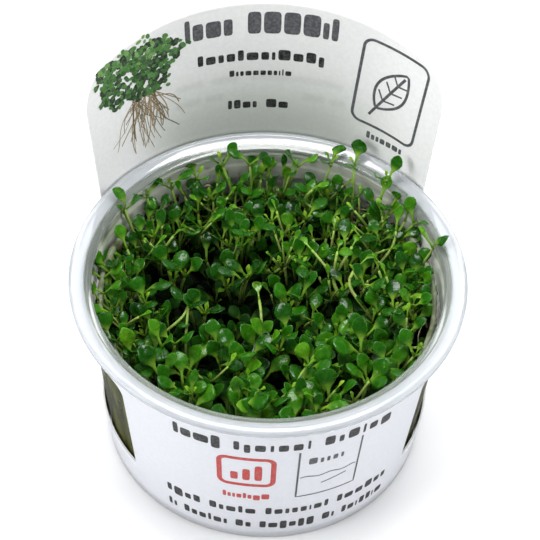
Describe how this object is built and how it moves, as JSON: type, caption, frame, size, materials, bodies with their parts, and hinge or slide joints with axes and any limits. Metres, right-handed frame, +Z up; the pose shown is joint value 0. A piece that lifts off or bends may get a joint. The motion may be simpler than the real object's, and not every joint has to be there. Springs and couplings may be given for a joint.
{
  "type": "mud mat plant in a culture cup",
  "caption": "Dense mat of small spoon-leaved aquarium plants growing in a clear flanged cup, wrapped by a white card sleeve with side windows and an arched header",
  "frame": {"origin": "centre of the cup's flat foot, on the surface it stands on", "axes": "+Z up the cup's axis, +Y towards the sleeve's header, -Y the printed front, +X to the right seen from the front"},
  "size_m": [0.1, 0.1052, 0.0977],
  "materials": {
    "clear_plastic": "clear moulded plastic, glossy",
    "card": "white coated card, printed, satin",
    "gel": "moist clouded gel with roots in it",
    "foliage": "wet, waxy green leaves and pale stems"
  },
  "bodies": {
    "root": {"cup": "clear_plastic", "sleeve": "card", "nutrient_gel": "gel", "tuft_01": "foliage", "tuft_02": "foliage", "tuft_03": "foliage", "tuft_04": "foliage", "tuft_05": "foliage", "tuft_06": "foliage", "tuft_07": "foliage", "tuft_08": "foliage", "tuft_09": "foliage", "tuft_10": "foliage", "tuft_11": "foliage", "tuft_12": "foliage", "tuft_13": "foliage", "tuft_14": "foliage", "tuft_15": "foliage", "tuft_16": "foliage", "tuft_17": "foliage", "tuft_18": "foliage", "tuft_19": "foliage", "tuft_20": "foliage", "tuft_21": "foliage", "tuft_22": "foliage", "tuft_23": "foliage", "tuft_24": "foliage"}
  },
  "joints": []
}
